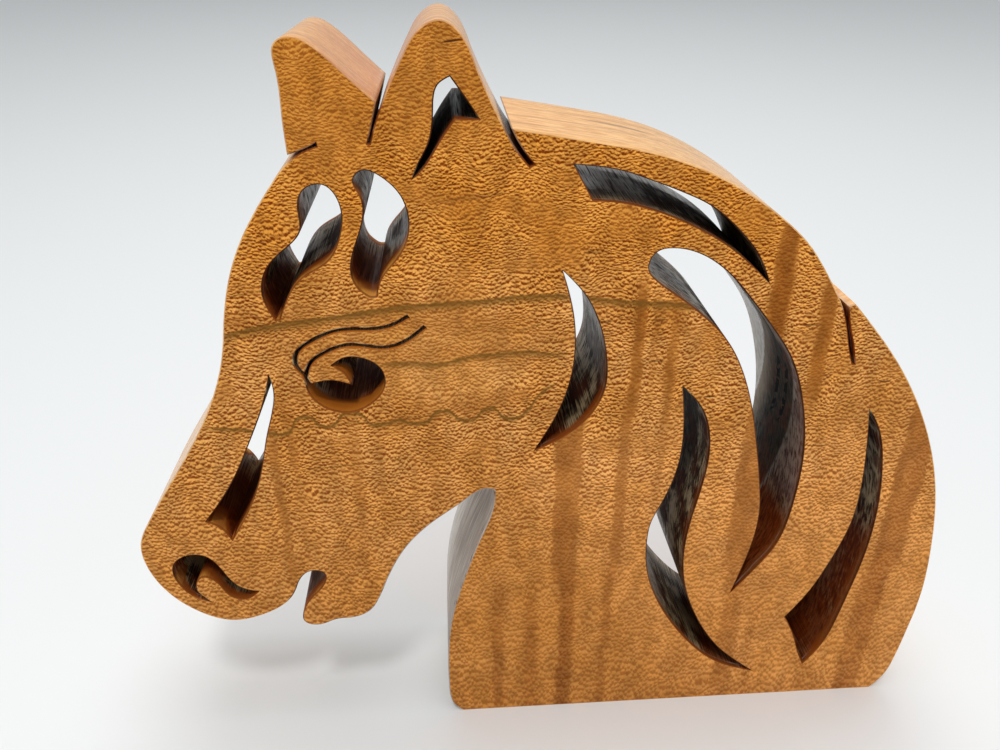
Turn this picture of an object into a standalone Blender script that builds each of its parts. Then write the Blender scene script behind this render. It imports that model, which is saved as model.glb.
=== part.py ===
"""A horse head sawn from one thick board: the outline, the slits and the open strokes are all cut straight through.

Metres, +Z up. The nose points to -X and the front face looks to -Y. The head stands on the flat cut end of its neck.
"""

import math

import bmesh
import bpy
import numpy as np
from mathutils import Vector
from mathutils.geometry import delaunay_2d_cdt

for item in list(bpy.data.objects):
    bpy.data.objects.remove(item, do_unlink=True)

# Sizes
HEIGHT = 0.200  # from the foot of the neck to the tip of the rear ear
THICKNESS = 0.038  # of the board
ARRIS = 0.0003  # sanded edge round every opening and round the outline, on both faces
SAW_CUT = 0.00075  # width of a single pass of the saw, in the two lids of the eye
CURVE_ERROR = 0.00005  # how far a straight step may stray from its curve
CORNER = 35  # degrees; an edge that turns more than this is a sharp one

# Every curve below is given by its turning points, in hundredths of the height: along from the middle of the length,
# and up from the foot. Each run is one smooth curve, and two runs meet at a corner.

# Outline of the head, from the slit over the brow down the face and round by the foot to the ears
FACE = (
    (-25.7, 87.7), (-27.2, 87.2), (-28.7, 86.3), (-31.5, 83.1), (-34.2, 79.2), (-36.8, 74.0), (-38.5, 68.0),
    (-39.4, 63.5), (-41.0, 58.7), (-43.6, 53.4), (-48.1, 46.3), (-52.6, 39.4), (-54.5, 35.6), (-54.4, 31.5),
    (-52.6, 27.1), (-49.2, 23.4), (-44.6, 21.3), (-40.2, 22.1), (-37.4, 23.6), (-35.5, 25.8), (-34.3, 28.4),
    (-32.6, 29.7), (-30.9, 29.2), (-31.0, 27.4), (-33.1, 24.7), (-34.5, 22.1), (-34.5, 20.3), (-32.8, 19.6),
    (-30.0, 20.5), (-27.6, 20.7), (-25.2, 21.8), (-23.5, 24.7), (-21.8, 28.8), (-19.3, 33.3), (-15.9, 37.0),
    (-10.7, 41.1), (-8.1, 42.5), (-7.1, 42.2),
)
THROAT = (
    (-7.1, 42.2), (-7.2, 40.2), (-9.2, 33.8), (-11.4, 27.2), (-13.1, 21.0), (-14.1, 13.5), (-14.2, 5.0),
    (-13.5, 1.4), (-12.2, 0.0),
)
FOOT = ((-12.2, 0.0), (53.2, 0.0))
NAPE = (
    (53.2, 0.0), (54.7, 2.1), (56.1, 8.2), (57.0, 18.5), (56.3, 28.8), (54.3, 39.1), (50.1, 49.9), (43.6, 60.1),
    (36.9, 67.7),
)
LOCK_TOP = ((36.9, 67.7), (36.2, 67.4))
LOCK_SLIT = ((36.2, 67.4), (36.8, 65.1), (37.9, 62.0), (38.6, 59.4))
MANE = (
    (38.2, 59.4), (37.6, 60.9), (36.4, 64.8), (34.9, 68.2), (33.2, 70.8), (30.6, 74.5), (25.7, 79.0), (19.3, 83.0),
    (12.2, 85.9), (3.3, 87.8), (-5.0, 89.2),
)
MANE_SLIT = ((-5.0, 89.2), (-4.4, 88.0), (-3.4, 86.6), (-2.5, 85.4))
REAR_EAR = (
    (-3.1, 85.1), (-4.1, 86.3), (-5.5, 88.5), (-7.0, 91.5), (-8.8, 95.5), (-10.2, 98.5), (-12.4, 100.0),
    (-14.5, 99.1), (-16.5, 96.1), (-18.3, 92.5), (-19.3, 90.4), (-20.1, 87.9),
)
FRONT_EAR_SLIT = ((-20.5, 87.9), (-19.8, 90.3), (-19.3, 92.2))
FRONT_EAR = (
    (-19.3, 92.2), (-22.6, 95.3), (-25.4, 97.8), (-27.6, 98.6), (-29.0, 97.9), (-29.1, 95.7), (-29.0, 91.0),
    (-28.9, 87.0),
)
BROW_SLIT = ((-28.9, 87.0), (-27.4, 87.5), (-25.8, 88.2))
HEAD = (
    FACE, THROAT, FOOT, NAPE, LOCK_TOP, LOCK_SLIT, MANE, MANE_SLIT, REAR_EAR, FRONT_EAR_SLIT, FRONT_EAR, BROW_SLIT,
)

# Openings
EAR_HOLLOW = (
    ((-11.5, 94.7), (-12.8, 93.9), (-13.4, 91.5), (-14.0, 88.0), (-15.1, 85.9), (-16.0, 84.0)),
    ((-16.0, 84.0), (-14.8, 85.1), (-12.8, 88.0), (-11.1, 90.3)),
    ((-11.1, 90.3), (-8.5, 90.3)),
    ((-8.5, 90.3), (-9.8, 92.3), (-11.5, 94.7)),
)
NOSE_STROKE = (
    ((-34.4, 60.7), (-35.2, 57.8), (-37.2, 53.1), (-39.5, 48.1), (-42.4, 43.1), (-45.5, 38.9)),
    ((-45.5, 38.9), (-43.8, 37.9), (-42.5, 35.6)),
    ((-42.5, 35.6), (-39.8, 40.1), (-37.3, 46.1), (-35.4, 53.0), (-34.1, 59.1), (-34.4, 60.7)),
)
FRONT_BROW_DROP = (
    (
        (-32.1, 67.8), (-30.8, 70.7), (-28.9, 73.0), (-25.9, 74.9), (-24.2, 78.0), (-24.0, 81.6), (-25.6, 83.7),
        (-27.8, 83.1), (-28.5, 81.4), (-28.6, 78.6), (-30.4, 76.6), (-32.9, 74.1), (-33.7, 71.3), (-33.1, 68.8),
        (-32.6, 67.8),
    ),
    ((-32.6, 67.8), (-32.1, 67.8)),
)
REAR_BROW_DROP = (
    (
        (-20.7, 70.4), (-20.1, 72.4), (-17.9, 75.2), (-16.6, 78.3), (-17.1, 82.0), (-19.2, 84.4), (-21.5, 85.1),
        (-22.3, 84.2), (-21.7, 82.4), (-21.7, 79.4), (-22.8, 76.4), (-23.4, 73.6), (-22.6, 71.3), (-21.4, 70.4),
    ),
    ((-21.4, 70.4), (-20.7, 70.4)),
)
CHEEK_STROKE = (
    (
        (0.9, 73.1), (3.5, 70.3), (5.6, 66.3), (6.8, 61.2), (6.7, 56.7), (4.8, 52.9), (0.8, 49.6), (-2.0, 48.2),
    ),
    ((-2.0, 48.2), (0.6, 53.1), (2.3, 58.2), (2.8, 63.2), (2.4, 67.5), (0.9, 73.1)),
)
MANE_STROKE = (
    ((1.7, 85.4), (6.8, 84.7), (12.7, 82.6), (17.3, 80.6), (21.2, 77.5), (24.2, 74.0), (25.8, 70.7)),
    ((25.8, 70.7), (21.6, 74.5), (16.5, 77.7), (11.1, 80.0), (7.1, 81.0), (4.0, 81.3)),
    ((4.0, 81.3), (1.7, 85.4)),
)
NECK_STROKE = (
    (
        (27.4, 21.7), (28.4, 25.7), (29.5, 31.7), (29.6, 37.5), (28.5, 43.6), (26.8, 51.2), (24.9, 57.2),
        (21.3, 63.7), (17.1, 67.7), (13.0, 70.8), (11.0, 73.2), (11.9, 75.1), (13.6, 75.5), (15.7, 75.2),
        (20.2, 72.7), (25.4, 67.0), (30.1, 60.8), (32.7, 54.3), (34.3, 45.8), (34.2, 37.5), (32.9, 30.5),
        (29.9, 25.4), (27.4, 21.7),
    ),
)
THROAT_STROKE = (
    (
        (16.7, 57.1), (17.5, 51.0), (17.3, 44.5), (15.5, 38.3), (14.5, 35.5), (14.2, 32.4), (14.8, 26.5),
        (17.4, 19.6), (21.7, 13.0), (27.1, 7.8), (33.3, 5.2),
    ),
    (
        (33.3, 5.2), (27.5, 10.3), (23.1, 17.0), (20.3, 24.7), (19.8, 33.0), (21.0, 41.5), (21.2, 48.8),
        (19.5, 53.9), (16.7, 57.1),
    ),
)
NAPE_STROKE = (
    (
        (41.9, 52.7), (42.6, 48.5), (43.3, 42.6), (43.3, 34.0), (41.6, 27.1), (39.3, 21.0), (36.6, 16.4),
    ),
    ((36.6, 16.4), (38.6, 12.4), (40.0, 8.6), (41.1, 6.2)),
    (
        (41.1, 6.2), (43.2, 9.8), (45.0, 17.2), (46.4, 26.7), (46.6, 36.5), (45.5, 44.4), (43.6, 50.1),
        (41.9, 52.7),
    ),
)
NOSTRIL = (
    (
        (-46.8, 24.8), (-49.2, 26.1), (-51.0, 29.0), (-50.9, 31.9), (-49.0, 33.3), (-46.6, 33.1), (-44.6, 30.4),
        (-42.7, 27.4), (-40.3, 26.4),
    ),
    (
        (-40.3, 26.4), (-42.2, 25.1), (-44.2, 25.8), (-45.7, 28.4), (-47.5, 29.4), (-48.6, 27.8), (-46.8, 24.8),
    ),
)
# Eye: the opening, and the two lids that run into its front corner
UPPER_LID = (
    (-17.2, 67.8), (-19.5, 66.6), (-22.4, 66.3), (-25.8, 66.2), (-28.7, 65.0), (-30.8, 63.2), (-30.9, 61.6),
    (-30.2, 60.5),
)
LOWER_LID = (
    (-15.3, 66.4), (-17.8, 64.5), (-20.5, 63.8), (-24.3, 64.3), (-27.3, 63.4), (-29.3, 61.9), (-30.0, 60.1),
)
EYE_RIM = (
    (-30.2, 60.1), (-29.7, 57.6), (-27.6, 55.5), (-25.0, 55.0), (-22.3, 56.2), (-20.6, 58.5), (-20.9, 61.0),
    (-23.0, 62.5), (-25.3, 62.6), (-26.8, 61.6),
)
EYE_HOOK = ((-26.8, 61.6), (-25.6, 60.8), (-24.6, 58.9))
EYE_TOP = ((-24.6, 58.9), (-27.0, 59.6), (-29.4, 59.2))
LIDS_MEET = (-30.05, 60.75)


def metres(points):
    """Hundredths into metres. The curves run along the middle of the arris, half its width inside the full height."""
    return np.array(points, float) * (HEIGHT - ARRIS) / 100 + (0, ARRIS / 2)


def spline(points, steps=24):
    """The natural cubic curve through the points, finely stepped."""
    points = metres(points)
    count = len(points)
    if count == 2:
        return points
    reach = np.linalg.norm(np.diff(points, axis=0), axis=1)
    matrix = np.eye(count)
    right = np.zeros((count, 2))
    for i in range(1, count - 1):
        matrix[i, i - 1] = reach[i - 1]
        matrix[i, i] = 2 * (reach[i - 1] + reach[i])
        matrix[i, i + 1] = reach[i]
        right[i] = 6 * ((points[i + 1] - points[i]) / reach[i] - (points[i] - points[i - 1]) / reach[i - 1])
    bend = np.linalg.solve(matrix, right)
    stepped = []
    for i in range(count - 1):
        for share in np.arange(steps) / steps:
            ahead = share * reach[i]
            behind = reach[i] - ahead
            stepped.append(
                (bend[i] * behind**3 + bend[i + 1] * ahead**3) / (6 * reach[i])
                + (points[i] / reach[i] - bend[i] * reach[i] / 6) * behind
                + (points[i + 1] / reach[i] - bend[i + 1] * reach[i] / 6) * ahead
            )
    stepped.append(points[-1])
    return np.array(stepped)


def thinned(curve):
    """The curve with only the steps that keep it within CURVE_ERROR."""
    if len(curve) < 3:
        return curve
    chord = curve[-1] - curve[0]
    length = np.linalg.norm(chord)
    away = curve - curve[0]
    if length < 1e-9:
        stray = np.linalg.norm(away, axis=1)
    else:
        stray = np.abs(chord[0] * away[:, 1] - chord[1] * away[:, 0]) / length
    worst = int(stray.argmax())
    if stray[worst] < CURVE_ERROR:
        return curve[[0, -1]]
    return np.vstack([thinned(curve[: worst + 1])[:-1], thinned(curve[worst:])])


def sides(curve):
    """Unit vectors square to the curve, on its left."""
    along = np.gradient(curve, axis=0)
    along /= np.linalg.norm(along, axis=1)[:, None]
    return np.column_stack([-along[:, 1], along[:, 0]])


def joined(curves):
    """One closed loop from the curves, with a straight step where one does not start at the end of the last."""
    ring = np.vstack([thinned(curve) for curve in curves])
    apart = np.linalg.norm(ring - np.roll(ring, 1, axis=0), axis=1) > 1e-6
    return ring[apart]


def loop(runs):
    return joined([spline(run) for run in runs])


def eye():
    """The eye opening with both lids, as one loop."""
    half = (SAW_CUT + ARRIS) / 2
    upper = spline(UPPER_LID)
    lower = spline(LOWER_LID)
    upper_side = sides(upper) * half
    lower_side = sides(lower) * half
    crotch = metres([LIDS_MEET])
    above_upper = upper - upper_side
    below_upper = (upper + upper_side)[: -len(upper) // 14]
    above_lower = (lower - lower_side)[: -len(lower) // 10]
    below_lower = lower + lower_side
    rim = spline(EYE_RIM)
    start = int(np.linalg.norm(rim - above_upper[-1], axis=1).argmin()) + 4
    return joined(
        [
            np.vstack([above_upper, rim[start:]]),
            spline(EYE_HOOK),
            np.vstack([spline(EYE_TOP), below_lower[::-1]]),
            np.vstack([above_lower, crotch]),
            np.vstack([crotch, below_upper[::-1]]),
        ]
    )


def area(ring):
    ahead = np.roll(ring, -1, axis=0)
    return 0.5 * float((ring[:, 0] * ahead[:, 1] - ahead[:, 0] * ring[:, 1]).sum())


def wound(ring, anticlockwise):
    """The ring turned so that the wood is on its left."""
    return ring if (area(ring) > 0) == anticlockwise else ring[::-1]


def moved(ring, distance):
    """The ring moved into the wood by the distance, with its sharpest corners held back."""
    before = ring - np.roll(ring, 1, axis=0)
    after = np.roll(ring, -1, axis=0) - ring
    before /= np.linalg.norm(before, axis=1)[:, None]
    after /= np.linalg.norm(after, axis=1)[:, None]
    left_before = np.column_stack([-before[:, 1], before[:, 0]])
    left_after = np.column_stack([-after[:, 1], after[:, 0]])
    spread = 1 + (left_before * left_after).sum(axis=1)
    return ring + distance * (left_before + left_after) / np.maximum(spread, 0.35)[:, None]


def in_wood(point, rings):
    """Whether a line from the point towards +X crosses the rings an odd number of times."""
    crossings = 0
    for ring in rings:
        ahead = np.roll(ring, -1, axis=0)
        spans = (ring[:, 1] > point[1]) != (ahead[:, 1] > point[1])
        start = ring[spans]
        rise = ahead[spans] - start
        crossings += int((start[:, 0] + (point[1] - start[:, 1]) * rise[:, 0] / rise[:, 1] > point[0]).sum())
    return crossings % 2 == 1


def board(walls, faces):
    """The solid: a wall along each ring, both faces, and the narrow arris between them."""
    half = THICKNESS / 2
    mesh = bmesh.new()
    layers = []
    for depth, outlines in ((-half, faces), (ARRIS - half, walls), (half - ARRIS, walls), (half, faces)):
        layers.append([[mesh.verts.new((x, depth, z)) for x, z in ring] for ring in outlines])
    for near, far in zip(layers, layers[1:]):
        for front, back in zip(near, far):
            for i, corner in enumerate(front):
                mesh.faces.new((corner, back[i], back[i - 1], front[i - 1]))
    flat = [corner for ring in layers[0] for corner in ring]
    deep = [corner for ring in layers[3] for corner in ring]
    edges = []
    for ring in layers[0]:
        start = len(edges)
        edges += [(start + i, start + (i + 1) % len(ring)) for i in range(len(ring))]
    places = [(corner.co.x, corner.co.z) for corner in flat]
    found = delaunay_2d_cdt([Vector(place) for place in places], edges, [], 0, 1e-9, True)
    for triangle in found[2]:
        corners = [found[3][i][0] for i in triangle]
        if in_wood(np.mean([places[i] for i in corners], axis=0), faces):
            mesh.faces.new([flat[i] for i in corners])
            mesh.faces.new([deep[i] for i in reversed(corners)])
    bmesh.ops.recalc_face_normals(mesh, faces=mesh.faces)
    for face in mesh.faces:
        face.smooth = True
    for edge in mesh.edges:
        edge.smooth = edge.calc_face_angle(math.pi) < math.radians(CORNER)
    return mesh


def wood():
    material = bpy.data.materials.new("wood")
    material.use_nodes = True
    shader = material.node_tree.nodes["Principled BSDF"]
    shader.inputs["Base Color"].default_value = (0.50, 0.25, 0.09, 1)
    shader.inputs["Roughness"].default_value = 0.55
    shader.inputs["Metallic"].default_value = 0
    return material


rings = [wound(loop(HEAD), True)]
for opening in (
    EAR_HOLLOW, NOSE_STROKE, FRONT_BROW_DROP, REAR_BROW_DROP, CHEEK_STROKE, MANE_STROKE, NECK_STROKE, THROAT_STROKE,
    NAPE_STROKE, NOSTRIL,
):
    rings.append(wound(loop(opening), False))
rings.append(wound(eye(), False))

# The two ends of the head lie equally far from the middle
middle = (rings[0][:, 0].min() + rings[0][:, 0].max()) / 2
for ring in rings:
    ring[:, 0] -= middle

shape = board([moved(ring, -ARRIS / 2) for ring in rings], [moved(ring, ARRIS / 2) for ring in rings])
data = bpy.data.meshes.new("horse_head")
shape.to_mesh(data)
shape.free()
head = bpy.data.objects.new("horse_head", data)
head.data.materials.append(wood())
bpy.context.scene.collection.objects.link(head)
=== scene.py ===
"""Looks of a horse head sawn from one thick board of rippled hardwood: arrises, figure and burnished cuts."""

import math
from functools import reduce

import bmesh
import bpy
import numpy as np
from mathutils import Matrix, Vector
from mathutils.geometry import delaunay_2d_cdt


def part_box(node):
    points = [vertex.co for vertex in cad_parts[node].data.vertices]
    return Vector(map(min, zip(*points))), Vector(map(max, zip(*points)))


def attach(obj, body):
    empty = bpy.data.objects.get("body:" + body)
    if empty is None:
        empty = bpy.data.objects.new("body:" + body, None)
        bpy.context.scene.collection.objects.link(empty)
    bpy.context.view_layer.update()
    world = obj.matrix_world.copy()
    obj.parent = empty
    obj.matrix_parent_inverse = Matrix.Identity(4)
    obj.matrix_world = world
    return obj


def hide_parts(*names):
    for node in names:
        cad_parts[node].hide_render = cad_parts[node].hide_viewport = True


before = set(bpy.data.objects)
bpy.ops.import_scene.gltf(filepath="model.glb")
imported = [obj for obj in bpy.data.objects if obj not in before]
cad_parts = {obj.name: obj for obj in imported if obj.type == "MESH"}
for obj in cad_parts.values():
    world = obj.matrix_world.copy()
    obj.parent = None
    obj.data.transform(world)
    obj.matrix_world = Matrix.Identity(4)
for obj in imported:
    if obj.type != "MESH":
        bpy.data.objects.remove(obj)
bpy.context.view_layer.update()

# The camera, fitted to the edges of the board: metres, and millimetres for the lens
CAMERA_PLACE = Vector((-0.0269, -0.1981, 0.2167))
CAMERA_AHEAD = Vector((0.0578, 0.8767, -0.4776))
CAMERA_UP = Vector((0.0332, 0.4764, 0.8786))
LENS = 29.907

# The board, in metres
NODE = "horse_head"
THICKNESS = 0.038
ARRIS = 0.0003
STEP = 0.0006  # between the points of an edge
ARRIS_STEPS = 4  # round each arris
WALL_ROWS = 10  # through the thickness
CORNER = 35  # degrees; an edge that turns more than this stays sharp
WELD = 1e-6
SLIT = 0.0026  # a gap narrower than this is a saw slit, which stays dark
LOCK_START = 0.06  # behind this, the slit of the lower lock is wider
LOCK_SLIT = 2.2 * SLIT
EAR_START, EAR_END, EAR_SLIT_TOP = -0.02, 0.0, 0.1735  # above this top, the slit behind the ears is sanded
THROAT_START, THROAT_END, THROAT_FOOT, THROAT_TOP = -0.075, -0.010, 0.001, 0.090
SPREAD = 4  # times that the edge of a burnished part is softened
# The cuts that are named below. Their numbers run from the widest along the board to the narrowest
OUTLINE, MANE_CUT, NECK_CUT, THROAT_CUT, EYE = range(5)
NAPE_CUT, CHEEK_CUT, EAR_HOLLOW = 7, 9, 10


def sorted_levels(mesh):
    """The four depths of the board's corners: face, arris, arris, face."""
    return sorted({round(corner.co.y, 6) for corner in mesh.verts})


def chained(pairs):
    """Closed loops of vertex numbers from their edges."""
    beside = {}
    for a, b in pairs:
        beside.setdefault(a, []).append(b)
        beside.setdefault(b, []).append(a)
    loops = []
    left = set(beside)
    while left:
        start = min(left)
        loop = [start]
        left.discard(start)
        while True:
            ahead = [v for v in beside[loop[-1]] if v in left]
            if not ahead:
                break
            loop.append(ahead[0])
            left.discard(ahead[0])
        loops.append(loop)
    return loops


def edge_loops():
    """For each cut of the board, its line on the wall and its line on the front face, point for point."""
    mesh = bmesh.new()
    mesh.from_mesh(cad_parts[NODE].data)
    bmesh.ops.remove_doubles(mesh, verts=mesh.verts, dist=WELD)
    mesh.verts.ensure_lookup_table()
    face, wall = sorted_levels(mesh)[:2]

    def at(corner, depth):
        return abs(corner.co.y - depth) < WELD

    wall_pairs = []
    face_pairs = []
    for edge in mesh.edges:
        if all(at(corner, wall) for corner in edge.verts):
            wall_pairs.append([corner.index for corner in edge.verts])
        elif all(at(corner, face) for corner in edge.verts):
            if any(at(corner, wall) for side in edge.link_faces for corner in side.verts):
                face_pairs.append([corner.index for corner in edge.verts])
    place = np.array([(corner.co.x, corner.co.z) for corner in mesh.verts])
    mesh.free()
    walls = [place[loop] for loop in chained(wall_pairs)]
    faces = [place[loop] for loop in chained(face_pairs)]
    paired = []
    for ring in walls:
        best = None
        for other in faces:
            if len(other) != len(ring):
                continue
            for turned in (other, other[::-1]):
                first = int(np.linalg.norm(turned - ring[0], axis=1).argmin())
                for shift in range(first - 3, first + 4):
                    candidate = np.roll(turned, -shift, axis=0)
                    apart = float(np.linalg.norm(candidate - ring, axis=1).sum())
                    if best is None or apart < best[0]:
                        best = (apart, candidate)
        paired.append((ring, best[1]))
    paired.sort(key=lambda pair: -np.ptp(pair[0][:, 0]))
    return paired


def area(ring):
    ahead = np.roll(ring, -1, axis=0)
    return 0.5 * float((ring[:, 0] * ahead[:, 1] - ahead[:, 0] * ring[:, 1]).sum())


def turning(ring):
    """Degrees by which the ring turns at each point."""
    after = np.roll(ring, -1, axis=0) - ring
    before = ring - np.roll(ring, 1, axis=0)
    cross = before[:, 0] * after[:, 1] - before[:, 1] * after[:, 0]
    return np.abs(np.degrees(np.arctan2(cross, (before * after).sum(axis=1))))


def smoothed(ring, other):
    """Both rings with more points, on smooth curves between their corners."""
    sharp = turning(ring) > CORNER
    count = len(ring)
    fine, fine_other = [], []
    for i in range(count):
        j = (i + 1) % count
        span = float(np.linalg.norm(ring[j] - ring[i]))
        steps = max(1, math.ceil(span / STEP))
        for line, found in ((ring, fine), (other, fine_other)):
            start, end = line[i], line[j]
            before = start if sharp[i] else line[i - 1]
            after = end if sharp[j] else line[(j + 1) % count]
            length = max(float(np.linalg.norm(end - start)), 1e-9)
            lead = max(float(np.linalg.norm(start - before)), 1e-9)
            trail = max(float(np.linalg.norm(after - end)), 1e-9)
            chord = (end - start) / length
            out = into = chord
            if not sharp[i]:
                out = ((start - before) / lead * length + chord * lead) / (lead + length)
            if not sharp[j]:
                into = (chord * trail + (after - end) / trail * length) / (trail + length)
            if sharp[i] and not sharp[j]:
                out = 2 * chord - into
            if sharp[j] and not sharp[i]:
                into = 2 * chord - out
            for t in np.arange(steps) / steps:
                found.append(
                    (2 * t**3 - 3 * t**2 + 1) * start
                    + (t**3 - 2 * t**2 + t) * length * out
                    + (3 * t**2 - 2 * t**3) * end
                    + (t**3 - t**2) * length * into
                )
    return np.array(fine), np.array(fine_other)


def in_wood(points, rings):
    """Whether a line from each point towards +X crosses the rings an odd number of times."""
    crossings = np.zeros(len(points), int)
    for ring in rings:
        for (ax, az), (bx, bz) in zip(ring, np.roll(ring, -1, axis=0)):
            spans = (az > points[:, 1]) != (bz > points[:, 1])
            if spans.any():
                level = points[spans, 1]
                crossings[spans] += ax + (level - az) * (bx - ax) / (bz - az) > points[spans, 0]
    return crossings % 2 == 1


def gap_widths(rings, ring):
    """How far the wood on the other side of the cut is, for each point of the ring."""
    along = np.roll(ring, -1, axis=0) - np.roll(ring, 1, axis=0)
    along /= np.linalg.norm(along, axis=1)[:, None]
    outward = np.column_stack([along[:, 1], -along[:, 0]])
    starts = np.vstack(rings)
    spans = np.vstack([np.roll(r, -1, axis=0) for r in rings]) - starts
    width = np.full(len(ring), 1.0)
    for i, (point, way) in enumerate(zip(ring, outward)):
        cross = way[0] * spans[:, 1] - way[1] * spans[:, 0]
        away = starts - point
        with np.errstate(divide="ignore", invalid="ignore"):
            distance = (away[:, 0] * spans[:, 1] - away[:, 1] * spans[:, 0]) / cross
            share = (away[:, 0] * way[1] - away[:, 1] * way[0]) / cross
        hit = (distance > 0.0001) & (share >= 0) & (share <= 1)
        if hit.any():
            width[i] = distance[hit].min()
    return width


def sawn_part(outline, gap):
    """How burnished the outline is: 1 in the slits, the throat and the mouth, 0 where it was sanded."""
    x, z = outline[:, 0], outline[:, 1]
    slit = gap < np.where(x > LOCK_START, LOCK_SLIT, SLIT)
    slit &= (x < EAR_START) | (x > EAR_END) | (z < EAR_SLIT_TOP)
    throat = (x > THROAT_START) & (x < THROAT_END) & (z > THROAT_FOOT) & (z < THROAT_TOP)
    burnt = (slit | throat).astype(float)
    for _ in range(SPREAD):
        burnt = (np.roll(burnt, 1) + burnt + np.roll(burnt, -1)) / 3
    return burnt


def front_face():
    """The front face as a flat mesh, whose border knows the way to the wall and what the wall is like."""
    walls, faces = [], []
    for number, (ring, other) in enumerate(edge_loops()):
        wall, face = smoothed(ring, other)
        if (area(wall) > 0) != (number == OUTLINE):
            wall, face = wall[::-1], face[::-1]
        walls.append(wall)
        faces.append(face)
    points = np.vstack(faces)
    to_wall = np.vstack(walls) - points
    along, burnt, bank, facing, gap = [], [], [], [], []
    for number, wall in enumerate(walls):
        step = np.linalg.norm(np.roll(wall, -1, axis=0) - wall, axis=1)
        along.append(np.concatenate([[0], np.cumsum(step)[:-1]]))
        gap.append(gap_widths(walls, wall))
        burnt.append(sawn_part(wall, gap[-1]) if number == OUTLINE else np.ones(len(wall)))
        bank.append(np.full(len(wall), float(number)))
        ahead = np.roll(wall, -2, axis=0) - np.roll(wall, 2, axis=0)
        facing.append(-ahead[:, 0] / np.linalg.norm(ahead, axis=1))
    edges = []
    start = 0
    for face in faces:
        edges += [(start + i, start + (i + 1) % len(face)) for i in range(len(face))]
        start += len(face)
    found = delaunay_2d_cdt([Vector(point) for point in points], edges, [], 0, 1e-9, True)
    triangles = np.array([[found[3][i][0] for i in triangle] for triangle in found[2]])
    triangles = triangles[in_wood(points[triangles].mean(axis=1), faces)]
    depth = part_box(NODE)[0].y
    mesh = bpy.data.meshes.new("face")
    mesh.from_pydata([(x, depth, z) for x, z in points], [], triangles.tolist())
    if mesh.polygons[0].normal.y > 0:
        mesh.flip_normals()
    way = mesh.attributes.new("to_wall", "FLOAT_VECTOR", "POINT")
    way.data.foreach_set("vector", np.column_stack([to_wall[:, 0], 0 * to_wall[:, 0], to_wall[:, 1]]).ravel())
    carried = {"along": along, "burnt": burnt, "bank": bank, "facing": facing, "gap": gap}
    for name, values in carried.items():
        mesh.attributes.new(name, "FLOAT", "POINT").data.foreach_set("value", np.concatenate(values))
    return mesh


class Tree:
    """Adds nodes to a tree and links them, with plain numbers or sockets as inputs."""

    def __init__(self, tree):
        self.tree = tree

    def node(self, kind, inputs=None, **settings):
        made = self.tree.nodes.new(kind)
        for name, value in settings.items():
            setattr(made, name, value)
        for name, value in (inputs or {}).items():
            self.feed(made.inputs[name], value)
        return made

    def feed(self, socket, value):
        if isinstance(value, bpy.types.NodeSocket):
            self.tree.links.new(value, socket)
        else:
            socket.default_value = value

    def math(self, operation, *values, clamp=False):
        made = self.node("ShaderNodeMath", dict(enumerate(values)), operation=operation, use_clamp=clamp)
        return made.outputs[0]

    def times(self, *values):
        return reduce(lambda first, second: self.math("MULTIPLY", first, second), values)

    def most(self, *values):
        return reduce(lambda first, second: self.math("MAXIMUM", first, second), values)

    def sloped(self, value, slope, start, clamp=False):
        """The value times the slope, plus the start."""
        return self.math("MULTIPLY_ADD", value, slope, start, clamp=clamp)

    def near(self, value, far, close):
        """0 where the value is further from nothing than far, and 1 where it is close."""
        return self.ranged(self.math("ABSOLUTE", value), far, close)

    def vector(self, operation, *values):
        made = self.node("ShaderNodeVectorMath", dict(enumerate(values)), operation=operation)
        return made.outputs["Vector"]

    def xyz(self, x=0.0, y=0.0, z=0.0):
        return self.node("ShaderNodeCombineXYZ", {0: x, 1: y, 2: z}).outputs[0]

    def parts(self, place):
        return self.node("ShaderNodeSeparateXYZ", {0: place}).outputs[:]

    def spot(self, across, up, x, z, half_width, half_height):
        """1 in the middle of an oval and 0 outside it."""
        beside = self.math("DIVIDE", self.math("SUBTRACT", across, x), half_width)
        above = self.math("DIVIDE", self.math("SUBTRACT", up, z), half_height)
        reach = self.sloped(beside, beside, self.times(above, above))
        return self.ranged(reach, 1.3, 0.3)

    def noise(self, place, scale, detail, rough=0.5, out="Color"):
        given = {"Vector": place, "Scale": scale, "Detail": detail, "Roughness": rough}
        return self.node("ShaderNodeTexNoise", given).outputs[out]

    def shifted(self, place, cloud, reach):
        """The place moved by a cloud of noise, up to half the reach each way."""
        level = self.vector("SUBTRACT", cloud, (0.5, 0.5, 0.5))
        return self.vector("MULTIPLY_ADD", level, reach, place)

    def ranged(self, value, low, high):
        """0 at low, 1 at high, and smooth between."""
        given = {0: value, 1: low, 2: high}
        return self.node("ShaderNodeMapRange", given, interpolation_type="SMOOTHSTEP").outputs[0]

    def blended(self, share, first, second):
        """A number between two."""
        return self.node("ShaderNodeMix", {0: share, 2: first, 3: second}).outputs[0]

    def mixed(self, share, first, second):
        """A colour between two."""
        first, second = [(*c, 1) if isinstance(c, tuple) else c for c in (first, second)]
        return self.node("ShaderNodeMix", {0: share, 6: first, 7: second}, data_type="RGBA").outputs[2]

    def curve(self, value, points, low, high):
        """The height of a smooth curve through the points, all of them between low and high."""
        start, end = points[0][0], points[-1][0]
        share = self.node("ShaderNodeMapRange", {0: value, 1: start, 2: end}).outputs[0]
        made = self.node("ShaderNodeFloatCurve", {"Value": share})
        line = made.mapping.curves[0]
        for place, height in points[1:-1]:
            line.points.new((place - start) / (end - start), (height - low) / (high - low))
        line.points[0].location = (0, (points[0][1] - low) / (high - low))
        line.points[-1].location = (1, (points[-1][1] - low) / (high - low))
        made.mapping.update()
        return self.sloped(made.outputs[0], high - low, low)


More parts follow.
